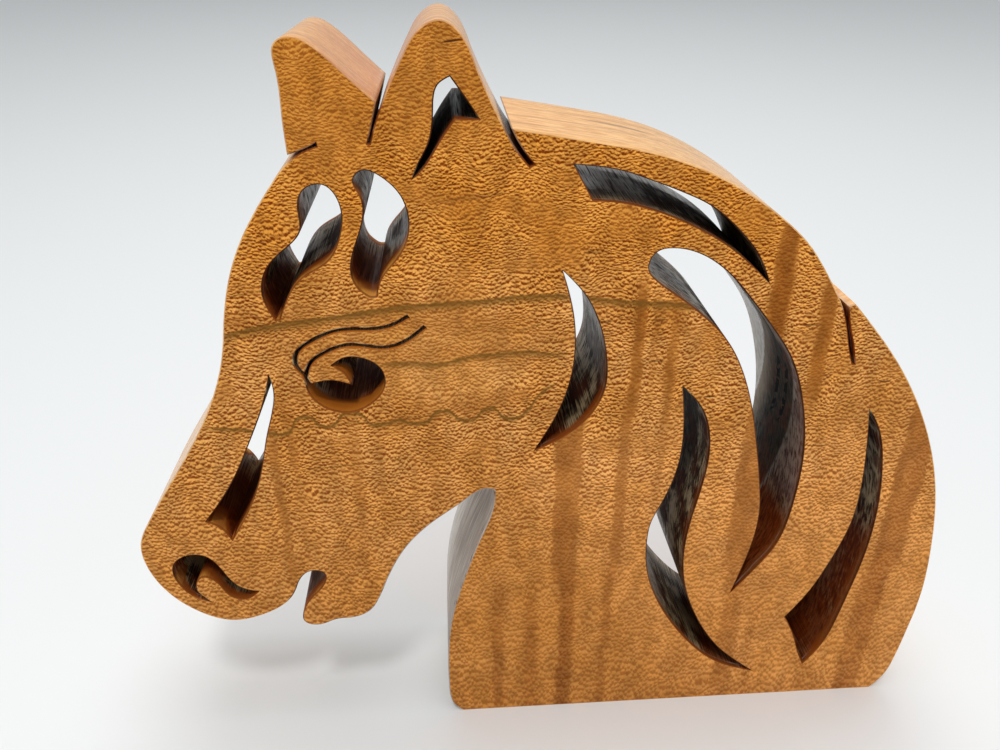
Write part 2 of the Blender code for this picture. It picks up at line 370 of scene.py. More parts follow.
def sawn_board_tree():
    """Carries the border of the front face round the arris, through the board and round the other arris."""
    group = bpy.data.node_groups.new("sawn_board", "GeometryNodeTree")
    socket = group.interface.new_socket
    socket("Face", in_out="INPUT", socket_type="NodeSocketGeometry")
    for name, kind, value in (
        ("Thickness", "NodeSocketFloat", THICKNESS),
        ("Arris", "NodeSocketFloat", ARRIS),
        ("Arris Steps", "NodeSocketInt", ARRIS_STEPS),
        ("Wall Rows", "NodeSocketInt", WALL_ROWS),
        ("Face Finish", "NodeSocketMaterial", None),
        ("Wall Finish", "NodeSocketMaterial", None),
    ):
        made = socket(name, in_out="INPUT", socket_type=kind)
        if value is not None:
            made.default_value = value
    socket("Board", in_out="OUTPUT", socket_type="NodeSocketGeometry")
    tree = Tree(group)
    given = tree.node("NodeGroupInput").outputs
    steps = given["Arris Steps"]
    rows = given["Wall Rows"]
    count = tree.sloped(steps, 2.0, rows)
    straight = tree.sloped(given["Arris"], -2.0, given["Thickness"])

    def profile(step):
        """How far towards the wall, as a share, and how deep the profile is after so many steps."""
        quarter = math.pi / 2
        near = tree.times(tree.math("DIVIDE", step, steps, clamp=True), quarter)
        far = tree.times(tree.math("DIVIDE", tree.math("SUBTRACT", count, step), steps, clamp=True), quarter)
        gone = tree.math("DIVIDE", tree.math("SUBTRACT", step, steps), rows, clamp=True)
        share = tree.math("SINE", tree.math("MINIMUM", near, far))
        near_bend = tree.math("SUBTRACT", 1.0, tree.math("COSINE", near))
        bend = tree.math("ADD", near_bend, tree.math("COSINE", far))
        return share, tree.sloped(given["Arris"], bend, tree.times(gone, straight))

    border = tree.node("GeometryNodeInputMeshEdgeNeighbors").outputs["Face Count"]
    marked = tree.node(
        "GeometryNodeStoreNamedAttribute",
        {"Geometry": given["Face"], "Name": "rim", "Value": tree.math("COMPARE", border, 1.0, 0.5)},
        data_type="FLOAT",
        domain="EDGE",
    )
    start = tree.node("GeometryNodeRepeatInput")
    end = tree.node("GeometryNodeRepeatOutput")
    start.pair_with_output(end)
    tree.feed(start.inputs["Iterations"], count)
    tree.feed(start.inputs["Geometry"], marked.outputs[0])
    share, depth = profile(start.outputs["Iteration"])
    next_share, next_depth = profile(tree.math("ADD", start.outputs["Iteration"], 1.0))
    to_wall = tree.node("GeometryNodeInputNamedAttribute", {"Name": "to_wall"}, data_type="FLOAT_VECTOR")
    aside = tree.node(
        "ShaderNodeVectorMath",
        {0: to_wall.outputs[0], "Scale": tree.math("SUBTRACT", next_share, share)},
        operation="SCALE",
    ).outputs[0]
    move = tree.vector("ADD", aside, tree.xyz(y=tree.math("SUBTRACT", next_depth, depth)))
    rim = tree.node("GeometryNodeInputNamedAttribute", {"Name": "rim"}, data_type="FLOAT")
    grown = tree.node(
        "GeometryNodeExtrudeMesh",
        {"Mesh": start.outputs["Geometry"], "Selection": rim.outputs[0], "Offset": move},
        mode="EDGES",
    )
    walled = tree.node(
        "GeometryNodeStoreNamedAttribute",
        {"Geometry": grown.outputs["Mesh"], "Selection": grown.outputs["Side"], "Name": "wall", "Value": 1.0},
        data_type="FLOAT",
        domain="FACE",
    )
    again = tree.node(
        "GeometryNodeStoreNamedAttribute",
        {"Geometry": walled.outputs[0], "Name": "rim", "Value": grown.outputs["Top"]},
        data_type="FLOAT",
        domain="EDGE",
    )
    tree.feed(end.inputs["Geometry"], again.outputs[0])
    back = tree.node(
        "GeometryNodeTransform", {"Geometry": given["Face"], "Translation": tree.xyz(y=given["Thickness"])}
    )
    back = tree.node("GeometryNodeFlipFaces", {"Mesh": back.outputs[0]})
    both = tree.node("GeometryNodeJoinGeometry")
    tree.feed(both.inputs[0], end.outputs["Geometry"])
    tree.feed(both.inputs[0], back.outputs[0])
    closed = tree.node("GeometryNodeMergeByDistance", {"Geometry": both.outputs[0], "Distance": WELD})
    whole = tree.node("GeometryNodeRealizeInstances", {"Geometry": closed.outputs[0]})
    faced = tree.node(
        "GeometryNodeSetMaterial", {"Geometry": whole.outputs[0], "Material": given["Face Finish"]}
    )
    wall = tree.node("GeometryNodeInputNamedAttribute", {"Name": "wall"}, data_type="FLOAT")
    done = tree.node(
        "GeometryNodeSetMaterial",
        {"Geometry": faced.outputs[0], "Selection": wall.outputs[0], "Material": given["Wall Finish"]},
    )
    tree.feed(tree.node("NodeGroupOutput").inputs["Board"], done.outputs[0])
    return group


def made_board(face_finish, wall_finish):
    """The whole board as a plain mesh, grown from its front face."""
    low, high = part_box(NODE)
    holder = bpy.data.objects.new("face", front_face())
    bpy.context.scene.collection.objects.link(holder)
    group = sawn_board_tree()
    grower = holder.modifiers.new("sawn_board", "NODES")
    grower.node_group = group
    given = {item.name: item.identifier for item in group.interface.items_tree if item.in_out == "INPUT"}
    for name, value in (
        ("Thickness", high.y - low.y),
        ("Face Finish", face_finish),
        ("Wall Finish", wall_finish),
    ):
        grower[given[name]] = value
    seen = bpy.context.evaluated_depsgraph_get()
    mesh = bpy.data.meshes.new_from_object(holder.evaluated_get(seen), depsgraph=seen)
    bpy.data.objects.remove(holder)
    mesh.name = "carved_head"
    shape = bmesh.new()
    shape.from_mesh(mesh)
    bmesh.ops.recalc_face_normals(shape, faces=shape.faces)
    for side in shape.faces:
        side.smooth = True
    for edge in shape.edges:
        edge.smooth = edge.calc_face_angle(math.pi) < math.radians(CORNER)
    shape.to_mesh(mesh)
    shape.free()
    piece = bpy.data.objects.new("carved_head", mesh)
    bpy.context.scene.collection.objects.link(piece)
    return piece


def finish(name):
    """A new material with its nodes, its shader and the object's coordinates in millimetres."""
    material = bpy.data.materials.new(name)
    material.use_nodes = True
    tree = Tree(material.node_tree)
    shader = material.node_tree.nodes["Principled BSDF"]
    place = tree.node("ShaderNodeTexCoord").outputs["Object"]
    millimetres = tree.node("ShaderNodeVectorMath", {0: place, "Scale": 1000.0}, operation="SCALE").outputs[0]
    return material, tree, shader, millimetres


# Figure of the wood, in millimetres on the face of the board: along from the middle, and up from the foot
# Smooth brown bands across the grain: middle, half width, strength
FOOT_BANDS = (
    (-85.0, 1.2, 0.25), (-80.5, 1.5, 0.30), (-75.3, 1.4, 0.35), (-66.0, 1.4, 0.30), (-58.0, 1.2, 0.20),
    (-28.0, 2.0, 0.25), (-15.6, 2.0, 0.70), (-6.2, 1.9, 0.70), (4.2, 2.2, 1.0), (10.8, 0.8, 0.25),
    (15.9, 1.4, 0.75), (23.5, 2.4, 0.15), (43.0, 4.0, 0.20), (53.8, 3.1, 0.60), (61.4, 1.1, 0.50),
    (95.4, 4.1, 0.85),
)
LOW_BANDS = (
    (-98.5, 1.8, 0.20), (-86.0, 1.2, 0.20), (-81.0, 1.6, 0.30), (-72.6, 1.5, 0.50), (-67.8, 1.3, 0.40),
    (-62.2, 1.0, 0.25), (-57.6, 1.0, 0.30), (-52.0, 1.6, 0.42), (-46.4, 1.3, 0.32), (-42.0, 0.8, 0.20),
    (-37.2, 1.0, 0.28), (-32.4, 1.2, 0.32), (-28.2, 0.9, 0.22), (-21.8, 1.1, 0.25), (-16.0, 1.3, 0.30),
    (-10.0, 1.0, 0.18), (3.0, 3.7, 0.80), (17.4, 1.7, 0.65), (27.4, 1.3, 0.40), (53.2, 4.3, 0.70),
    (62.0, 1.1, 0.25), (74.0, 1.8, 0.20), (97.4, 4.2, 0.90),
)
HIGH_BANDS = (
    (-69.0, 1.3, 0.20), (-56.0, 1.2, 0.10), (-40.0, 1.3, 0.10), (-23.0, 1.2, 0.10), (-6.0, 1.2, 0.12),
    (7.9, 1.2, 0.35), (18.8, 1.6, 0.62), (23.0, 1.0, 0.30), (27.5, 1.3, 0.55), (37.0, 2.2, 0.30),
    (52.4, 2.3, 0.95), (64.9, 2.0, 0.80), (71.2, 1.1, 0.25), (84.0, 1.2, 0.12), (96.6, 4.0, 0.50),
)
# Growth lines along the grain: their points, thickness, strength
GROWTH_LINES = (
    (
        (
            (-84, 131.5), (-80, 132.3), (-70, 134.4), (-60, 135.6), (-50, 136.8), (-40, 138.2), (-30, 138.8),
            (-20, 139.3), (-10, 140.1), (-1, 140.1), (6, 139.4), (14, 138.2), (22, 137.6), (30, 136.9),
            (36, 136.2),
        ),
        3.0, 0.9,
    ),
    (
        (
            (-46, 123.0), (-37, 123.5), (-31, 122.9), (-26, 123.8), (-20, 125.0), (-15, 125.2), (-10, 125.6),
            (-5, 125.0), (3, 124.3),
        ),
        2.2, 0.88,
    ),
    (
        (
            (-90, 107.0), (-80, 106.4), (-73, 105.0), (-69, 104.7), (-66, 108.6), (-63, 109.4),
            (-60.5, 106.9), (-58, 106.4), (-55, 109.2), (-52, 110.2), (-49, 108.7), (-46.5, 106.3),
            (-43, 106.8), (-40, 107.5), (-37, 106.3), (-34, 106.5), (-31, 109.4), (-28.5, 109.7),
            (-26, 107.5), (-23, 106.8), (-19.5, 109.3), (-17, 110.0), (-15, 107.9), (-12, 106.8),
            (-8.6, 108.6), (-5.7, 112.8), (-2.9, 115.4), (1, 117.0),
        ),
        1.8, 0.98,
    ),
    (
        (
            (-30, 130.6), (-25, 131.0), (-19, 132.8), (-15, 131.9), (-12, 131.2), (-7, 132.2), (-3, 134.0),
            (2, 133.4),
        ),
        1.0, 0.35,
    ),
    (((-80, 105.0), (-66, 105.7), (-55, 106.8), (-44, 107.0), (-33, 108.3), (-28, 108.6)), 0.6, 0.5),
    (((-82, 141.5), (-76, 142.2), (-70, 143.1), (-62, 144.0), (-55, 144.8)), 0.7, 0.45),
    (((-70, 93.0), (-65.4, 93.3), (-60.7, 93.8), (-51.4, 94.5), (-43, 95.4), (-36, 95.2)), 0.6, 0.5),
    (((-99, 94.4), (-96.7, 94.7), (-90, 94.7), (-86.6, 95.4), (-83, 95.0)), 0.5, 0.6),
)
# Dark flecks: middle along and up, half length, half width, rise, strength
FLECKS = (
    (38.3, 110.9, 1.5, 0.32, 0.0, 0.9), (23.6, 121.6, 2.2, 0.3, 0.0, 0.6),
    (83.4, 113.6, 1.9, 0.28, -0.05, 0.7), (92.2, 104.8, 1.3, 0.3, 0.1, 0.5),
    (69.5, 94.6, 3.0, 0.25, -0.06, 0.5), (10.4, 132.7, 1.9, 0.35, 0.0, 0.6),
    (23.2, 132.8, 2.6, 0.3, 0.0, 0.6), (61.0, 130.2, 2.8, 0.3, 0.0, 0.6), (32.0, 105.0, 1.6, 0.25, 0.1, 0.5),
    (-24.6, 196.0, 2.4, 0.24, 0.13, 1.0), (-21.0, 163.8, 9.0, 0.7, 0.11, 0.3),
    (7.0, 150.5, 3.0, 0.6, 0.0, 0.35), (59.0, 148.6, 2.0, 0.4, -0.2, 0.8), (-5.0, 63.0, 2.0, 0.3, 0.0, 0.3),
    (13.0, 84.0, 3.0, 0.25, 0.0, 0.4),
)

# Places where the ripple is faint: middle along and up, half width, half height, strength
STILL_PLACES = (
    (-36, 126, 34, 15, 0.6), (-25, 192, 22, 18, 0.6), (-52, 186, 14, 20, 0.6), (-10, 14, 40, 34, 0.5),
    (-52, 52, 18, 22, 0.5), (70, 10, 60, 26, 0.5), (-85, 60, 14, 18, 0.3), (84, 88, 20, 34, 0.42),
)
# Places on the face that are more golden or browner: along, up, half width, half height, strength
TINTS = (
    ((1.16, 1.24, 1.35), ((-25.0, 118.5, 20.0, 5.5, 0.9), (-30.0, 129.5, 16.0, 3.0, 0.5))),
    (
        (0.82, 0.76, 0.66),
        (
            (-45.0, 109.0, 34.0, 4.0, 0.7), (-71.0, 134.5, 13.0, 3.5, 0.8), (16.0, 132.0, 16.0, 5.0, 0.6),
            (-18.0, 133.0, 20.0, 3.5, 0.5), (-62.0, 116.0, 12.0, 5.0, 0.4), (-8.0, 111.0, 12.0, 6.0, 0.4),
            (-60.0, 98.0, 22.0, 5.0, 0.35),
        ),
    ),
)
# Places in the cuts that are smooth and mirror the light behind the board, painted grey: along, up, reach,
# strength
SHEEN_SPOTS = (
    (5.0, 169.0, 9.0, 1.0), (15.0, 165.0, 8.0, 0.7), (23.0, 146.0, 9.0, 1.0), (31.0, 138.0, 9.0, 0.8),
    (-60.0, 163.0, 8.0, 1.0), (-47.0, 167.0, 7.0, 0.9), (8.0, 136.0, 12.0, 1.0), (11.0, 122.0, 9.0, 0.5),
    (31.0, 44.0, 11.0, 0.9), (93.0, 80.0, 13.0, 0.4), (-33.0, 124.0, 6.0, 0.5), (-24.2, 180.8, 1.4, 1.0),
    (-44.0, 142.0, 4.5, 0.6), (-37.0, 156.0, 7.0, 0.9), (-43.5, 147.5, 5.0, 0.7), (8.0, 129.0, 7.0, 0.8),
)
# Places in the cuts where the wood stayed red-brown: along, up, reach, strength
EMBERS = (
    (60.0, 56.0, 19.0, 0.95), (58.0, 14.0, 13.0, 0.7), (76.0, 26.0, 16.0, 0.95), (88.0, 46.0, 20.0, 0.8),
    (-6.0, 97.0, 10.0, 0.7), (-67.5, 137.0, 6.0, 0.8), (-46.0, 143.0, 7.0, 0.85), (-88.0, 77.0, 10.0, 0.95),
    (-52.0, 108.0, 9.0, 0.8), (-92.0, 62.0, 8.0, 0.9), (71.0, 129.0, 13.0, 1.0), (-9.0, 172.0, 6.0, 1.0),
)
# How far the painted light reaches into these cuts, as a share of the others
LIGHT_REACH_SHARES = (
    (MANE_CUT, 0.15), (NECK_CUT, 0.1), (THROAT_CUT, 0.3),
    (NAPE_CUT, 0.4), (CHEEK_CUT, 0.55), (EAR_HOLLOW, 0.6),
)
BANDS_END = 115  # millimetres along, past both ends of the board
FADE = 0.9  # millimetres over which a band fades out
BETWEEN = 0.02  # strength of the figure between the bands
# Colours on the face, and what the face's colour is multiplied by where it is brighter or richer
LINE_BROWN = (0.20, 0.088, 0.013)
FLECK_BROWN = (0.10, 0.028, 0.008)
BRIGHTER = (1.18, 1.22, 1.40)
RICHER = (0.97, 0.88, 0.58)


def band_points(bands):
    """The strength of the bands along the board, as the points of a curve."""
    points = [(-BANDS_END, BETWEEN)]
    for middle, half, strength in bands:
        inner = max(half - FADE, half * 0.4)
        if middle - half - FADE > points[-1][0]:
            points.append((middle - half - FADE, BETWEEN))
        points += [(middle - inner, strength), (middle + inner, strength), (middle + half + FADE, BETWEEN)]
    return [*points, (BANDS_END, BETWEEN)]


def rippled_wood():
    """Oiled hardwood: vertical bands of figure, growth lines across, and a fine wavy ripple all over."""
    material, tree, shader, place = finish("rippled_wood")
    times, most, ranged, mixed = tree.times, tree.most, tree.ranged, tree.mixed
    drift = tree.shifted(place, tree.noise(place, 0.10, 1.0), (2.0, 2.0, 4.0))
    along, _, up = tree.parts(place)
    bent_along = tree.parts(drift)[0]

    def cloud(stretch, detail=1.0):
        """Soft noise, finer where the stretch is greater."""
        return tree.noise(tree.vector("MULTIPLY", drift, stretch), 1.0, detail, out="Fac")

    # The ripple is a field of small domes, drawn out along the grain and bumped; their shading from above is
    # also painted into the colour, light on each dome's upper side and dark on its lower side
    spread_along, spread_deep, spread_up = tree.parts(
        tree.shifted(drift, tree.noise(drift, 1.4, 2.0, 0.6), (0.9, 0.0, 0.7))
    )
    row = tree.sloped(spread_along, 1.03, spread_deep)
    # Finer towards the ears
    climb = times(spread_up, tree.sloped(spread_up, 0.0031, 0.44))

    def domes(lift):
        flat = tree.xyz(row, tree.math("ADD", climb, lift))
        given = {"Vector": flat, "Scale": 1.0, "Randomness": 0.88}
        return tree.node("ShaderNodeTexVoronoi", given, voronoi_dimensions="2D").outputs["Distance"]

    dome = domes(0.0)
    # Painted shade of the domes: 0 on a dome's lower side, 1 on its upper side
    painted_dome_shade = ranged(tree.math("SUBTRACT", domes(0.40), dome), -0.37, 0.37)

    bent_along = tree.sloped(tree.math("SUBTRACT", spread_along, bent_along), 2.4, bent_along)

    def banded(bands):
        return tree.curve(bent_along, band_points(bands), 0.0, 1.0)

    high = ranged(up, 98.0, 118.0)
    figure = tree.blended(ranged(up, 58.0, 44.0), banded(LOW_BANDS), banded(FOOT_BANDS))
    figure = tree.blended(high, figure, banded(HIGH_BANDS))
    # Fainter high on the mane, and here and there along each band
    worn = times(ranged(up, 136.0, 146.0), ranged(along, 47.0, 41.0), 0.75)
    wear = tree.sloped(cloud((0.12, 0.12, 0.06)), 0.9, 0.45)
    figure = times(figure, tree.math("SUBTRACT", 1.0, worn), wear)
    # The ripple is faint in the bands, low down, in places, and here and there
    still = times(ranged(figure, 0.0, 0.6), 0.98)
    still = most(still, times(ranged(up, 118.0, 42.0), tree.sloped(ranged(along, -48.0, -16.0), 0.26, 0.57)))
    for x, z, half_width, half_height, strength in STILL_PLACES:
        still = most(still, times(tree.spot(along, up, x, z, half_width, half_height), strength))
    still = most(still, times(ranged(cloud((0.07, 0.07, 0.12)), 0.50, 0.66), 0.55))
    calm = times(still, 0.82)

    clouds = ranged(cloud((0.11, 0.11, 0.07), 2.0), 0.3, 0.7)
    # The painted lit and shaded colours of the domes, and the calm colour of the bands
    light = mixed(clouds, (0.96, 0.44, 0.095), (1.0, 0.51, 0.145))
    dark = mixed(clouds, (0.22, 0.036, 0.001), (0.28, 0.052, 0.002))
    quiet = mixed(figure, (0.52, 0.200, 0.038), (0.28, 0.083, 0.012))
    colour = mixed(calm, mixed(painted_dome_shade, dark, light), quiet)
    for tint, places in TINTS:
        tinted = tree.vector("MULTIPLY", colour, tint)
        for x, z, half_width, half_height, strength in places:
            oval = tree.spot(spread_along, spread_up, x, z, half_width, half_height)
            colour = mixed(times(oval, strength), colour, tinted)

    # Soft mottling, taller than wide
    mottle = ranged(cloud((0.34, 0.34, 0.15), 2.0), 0.3, 0.7)
    colour = tree.vector("MULTIPLY", colour, mixed(mottle, (0.86, 0.84, 0.82), (1.15, 1.16, 1.18)))
    # Brighter low on the back of the neck, and richer high up and in the bands there
    bright = times(ranged(tree.sloped(up, 0.6, along), 25.0, 62.0), ranged(up, 108.0, 86.0))
    colour = mixed(bright, colour, tree.vector("MULTIPLY", colour, BRIGHTER))
    richer = most(ranged(up, 132.0, 158.0), times(figure, high))
    colour = mixed(richer, colour, tree.vector("MULTIPLY", colour, RICHER))

    lines = []
    ragged = tree.sloped(tree.noise(place, 0.8, 2.0, out="Fac"), 1.2, -0.6)
    for points, thickness, strength in GROWTH_LINES:
        heights = [height for _, height in points]
        level = tree.curve(along, points, min(heights) - 1, max(heights) + 1)
        below = tree.math("SUBTRACT", tree.math("ADD", level, ragged), up)
        inside = times(ranged(below, -0.5, 0.3), ranged(below, thickness, 0))
        start, end = points[0][0], points[-1][0]
        lines.append(times(inside, ranged(along, start, start + 6), ranged(along, end, end - 6), strength))
    colour = mixed(most(*lines), colour, LINE_BROWN)

    flecks = []
    for x, z, half_length, half_width, rise, strength in FLECKS:
        level = tree.math("SUBTRACT", up, times(tree.math("SUBTRACT", along, x), rise))
        flecks.append(times(tree.spot(along, level, x, z, half_length, half_width), strength))
    colour = mixed(most(*flecks), colour, FLECK_BROWN)

    tree.feed(shader.inputs["Base Color"], colour)
    shader.inputs["Specular IOR Level"].default_value = 0.05
    sheen = tree.noise(place, 1.6, 2.0, out="Fac")
    tree.feed(shader.inputs["Roughness"], tree.sloped(sheen, 0.25, 0.40))
    height = times(tree.math("SUBTRACT", 1.0, dome), tree.math("SUBTRACT", 1.0, calm))
    bump = tree.node("ShaderNodeBump", {"Height": height, "Strength": 1.0, "Distance": 0.00018})
    tree.feed(shader.inputs["Normal"], bump.outputs[0])
    return material


# Colours in the cuts. The polished, shine, palest and throat colours are painted reflections of the pale
# light around the board, and the pale line is partly a painted highlight
SOOT = (0.008, 0.004, 0.002)
POLISH_SHEEN = (0.48, 0.34, 0.18)
NECK_SHINE = (0.55, 0.51, 0.45)
MANE_SHINE = (0.80, 0.74, 0.66)
PALEST_REFLECTION_LINE = (0.80, 0.78, 0.74)
DARK_EMBER = (0.075, 0.010, 0.001)
LIGHT_EMBER = (0.27, 0.048, 0.004)
PALE_AND_HIGHLIGHT_LINE = (0.36, 0.30, 0.25)
FUZZ = (0.33, 0.235, 0.20)
GROOVE_BLACK = (0.004, 0.003, 0.002)
NICK_BLACK = (0.002, 0.002, 0.002)
THROAT_SHEEN_GREY = (0.46, 0.40, 0.35)
THROAT_SHEEN_PALE = (0.82, 0.77, 0.70)
PIT = (0.06, 0.04, 0.03)
# Colours beside the faces: the lip and the burnt rim, and the painted light that falls into the cuts from
# above the front, on the walls, the eye's rim and the rim
LIP = (0.24, 0.075, 0.016)
LIT_EYE_RIM = (0.52, 0.155, 0.014)
LIT_DEEP = (0.27, 0.055, 0.005)
LIT_EDGE = (0.86, 0.37, 0.060)
LIT_DULL = (0.28, 0.072, 0.010)
BURNT_RIM = (0.050, 0.014, 0.005)
LIT_RIM = (0.24, 0.060, 0.010)
# Colours of the sanded outside
SANDED_DARK = (0.72, 0.35, 0.11)
SANDED_LIGHT = (0.97, 0.58, 0.25)
SANDED_RINGS = (0.48, 0.24, 0.11)
MANE_GREY = (0.24, 0.15, 0.09)
FAR_EAR_RED = (0.60, 0.27, 0.13)
SLIT_BROWN = (0.20, 0.105, 0.075)
HALF_THICKNESS = THICKNESS * 500  # millimetres
BACK_SHARE = 2.4  # what lies beside the front face lies this many times closer to the back face


def sawn_wall():
    """The edges of the board: burnished almost black inside the cuts, with painted reflections and painted
    light, and sanded pale around the outside.
    """
    material, tree, shader, place = finish("sawn_wall")
    times, most, blended = tree.times, tree.most, tree.blended
    sloped, ranged, near, mixed = tree.sloped, tree.ranged, tree.near, tree.mixed

    def carried(name):
        return tree.node("ShaderNodeAttribute", attribute_name=name).outputs["Fac"]

    burnt, facing, bank, gap = [carried(name) for name in ("burnt", "facing", "bank", "gap")]
    across, deep, up = tree.parts(place)
    run = sloped(bank, 37.0, times(carried("along"), 1000.0))
    from_back = sloped(deep, -BACK_SHARE, BACK_SHARE * HALF_THICKNESS)
    edge = tree.math("MINIMUM", tree.math("ADD", deep, HALF_THICKNESS), from_back)

    # Saw marks run through the thickness, stains run along the cut, and the saw polished the wood in patches
    marks = tree.noise(tree.xyz(times(run, 2.4), times(deep, 0.07)), 1.0, 4.0, 0.62, "Fac")
    slanted = sloped(run, 0.16, times(deep, 1.1))
    stains = tree.noise(tree.xyz(times(run, 0.30), slanted), 1.0, 5.0, 0.66, "Fac")
    patches = tree.noise(tree.xyz(times(run, 0.13), times(deep, 0.11)), 1.0, 2.0, out="Fac")

    def cut(number):
        return tree.math("COMPARE", bank, float(number), 0.4)

    def stained(amount, value):
        """The value moved by the stains, which makes its lines ragged."""
        return sloped(stains, amount, value)

    def slanting(rise, level):
        """How far behind a slanting line each point is."""
        return sloped(up, rise, tree.math("SUBTRACT", deep, level))

    def in_places(start, places):
        """The start, or the strength of a place around it where that is greater."""
        for x, z, reach, strength in places:
            start = most(start, times(tree.spot(across, up, x, z, reach, reach), strength))
        return start

    lengthwise = times(ranged(facing, 0.2, 0.7), tree.math("SUBTRACT", 1.0, cut(NECK_CUT)))
    streaks = blended(lengthwise, stains, marks)
    outside = cut(OUTLINE)
    open_outside = times(outside, ranged(gap, 0.004, 0.008))
    # Polished patches and the open parts of the outline are painted with a grey sheen that stands for
    # reflected light
    polish_and_sheen = most(ranged(blended(0.55, patches, streaks), 0.46, 0.60), open_outside)
    # Light from behind shows on the back of every cut, and on its smoothest places
    bright = times(ranged(deep, 5.0, 20.0), sloped(cut(EAR_HOLLOW), -0.75, 0.9))
    bright = in_places(bright, SHEEN_SPOTS)
    polish_and_sheen = most(polish_and_sheen, times(bright, ranged(streaks, 0.34, 0.60)))
    # The mane's cut is smooth at its left end and along its back, painted there with a grey reflection, and
    # almost black between
    left_end = times(ranged(across, 15.0, 7.0), ranged(stained(10.0, deep), -7.0, -2.0))
    mane_back = times(ranged(across, 42.0, 34.0), ranged(stained(8.0, deep), 10.0, 14.0))
    smooth_mane = times(cut(MANE_CUT), most(left_end, mane_back))
    polish_and_sheen = blended(cut(MANE_CUT), polish_and_sheen, times(polish_and_sheen, 0.5))

    # The long cut in the neck is smooth behind a slanting line, painted grey there as a reflection, and rough
    # and red in front of it
    neck_cut = times(cut(NECK_CUT), ranged(across, 40.0, 45.0), ranged(facing, 0.5, 0.2))
    slant = stained(5.0, slanting(0.34, 26.0))
    smooth_part = times(neck_cut, ranged(slant, 0.0, 1.2))
    # The throat's cut is black behind a line that runs along it, and the ear's hollow is black too
    behind = ranged(stained(6.0, deep), -6.0, -4.0)
    black_part = times(cut(THROAT_CUT), ranged(up, 66.0, 84.0), behind)
    polish_and_sheen = blended(black_part, polish_and_sheen, times(polish_and_sheen, 0.25))
    polish_and_sheen = blended(cut(EAR_HOLLOW), polish_and_sheen, times(polish_and_sheen, 0.25))
    # The neck cut's palest painted reflection is a strip behind a second line, with a pale painted line along
    # it, and the painted reflection dims from there to the first
    strip = stained(3.0, slanting(0.50, 65.5))
    paler = sloped(ranged(strip, -11.0, -1.0), 0.50, -0.23)
    polish_and_sheen = blended(smooth_part, polish_and_sheen, sloped(stains, 0.6, paler, clamp=True))
    palest = times(neck_cut, ranged(strip, -0.3, 0.5), sloped(ranged(stains, 0.35, 0.6), 0.5, 0.25))
    glare = most(palest, times(smooth_mane, ranged(streaks, 0.34, 0.58)))
    # Painted sheen: soot black, and grey-brown where polished
    char = mixed(polish_and_sheen, SOOT, POLISH_SHEEN)
    # Painted reflections on the smooth parts of the mane and neck cuts
    char = mixed(glare, char, mixed(smooth_mane, NECK_SHINE, MANE_SHINE))
    char = mixed(times(neck_cut, near(strip, 0.9, 0.2), 0.8), char, PALEST_REFLECTION_LINE)

    # Red-brown where the saw ran cooler
    ember = mixed(ranged(streaks, 0.3, 0.7), DARK_EMBER, LIGHT_EMBER)
    warmth = most(times(ranged(patches, 0.56, 0.40), 0.35), times(outside, 0.6))
    warmth = most(warmth, times(neck_cut, ranged(slant, 1.0, -4.0), 0.45))
    warmth = times(in_places(warmth, EMBERS), sloped(ranged(deep, 16.0, 4.0), 0.8, 0.2))
    char = mixed(warmth, char, ember)

    # Pale lines along the slanting line and high on the neck cut's front edge, and beside both faces a
    # painted highlight where the arris rounds
    upper = times(neck_cut, ranged(up, 120.0, 124.0), ranged(up, 139.0, 135.0))
    beside_faces = near(tree.math("SUBTRACT", edge, sloped(patches, 1.2, 0.7)), 0.36, 0.08)
    pale = most(times(neck_cut, near(slant, 1.1, 0.1), 0.75), times(beside_faces, 0.75))
    pale = most(pale, times(upper, ranged(deep, -8.0, -9.5)))
    char = mixed(times(upper, near(tree.math("ADD", deep, 7.2), 1.6, 0.8)), char, GROOVE_BLACK)
    char = mixed(times(pale, ranged(stains, 0.35, 0.55)), char, PALE_AND_HIGHLIGHT_LINE)
    # Grey fuzz on the rough part and along the front edge above it
    climbed = ranged(up, 66.0, 80.0)
    fuzz = most(times(ranged(slant, 1.0, -1.0), climbed), ranged(deep, -13.5, -15.5))
    fuzz = times(fuzz, neck_cut, ranged(up, 138.0, 130.0), climbed)
    char = mixed(times(fuzz, ranged(stains, 0.34, 0.60), 0.75), char, FUZZ)
    # Two rows of short nicks in the smooth part
    rows = slanting(0.42, 40.5)
    nick_row = stained(1.0, tree.math("ABSOLUTE", tree.math("SUBTRACT", tree.math("ABSOLUTE", rows), 2.9)))
    nick_step = stained(1.0, tree.math("PINGPONG", sloped(deep, 0.5, sloped(patches, 5.0, up)), 2.1))
    nicks = times(ranged(nick_row, 1.70, 1.45), ranged(nick_step, 2.35, 2.0))
    nicks = times(nicks, neck_cut, ranged(up, 116.5, 114.0), ranged(up, 90.0, 92.5))
    missed = tree.noise(tree.xyz(times(rows, 0.30), times(up, 0.22)), 1.0, 1.0, 0.5, "Fac")
    nicks = times(nicks, ranged(missed, 0.64, 0.58))

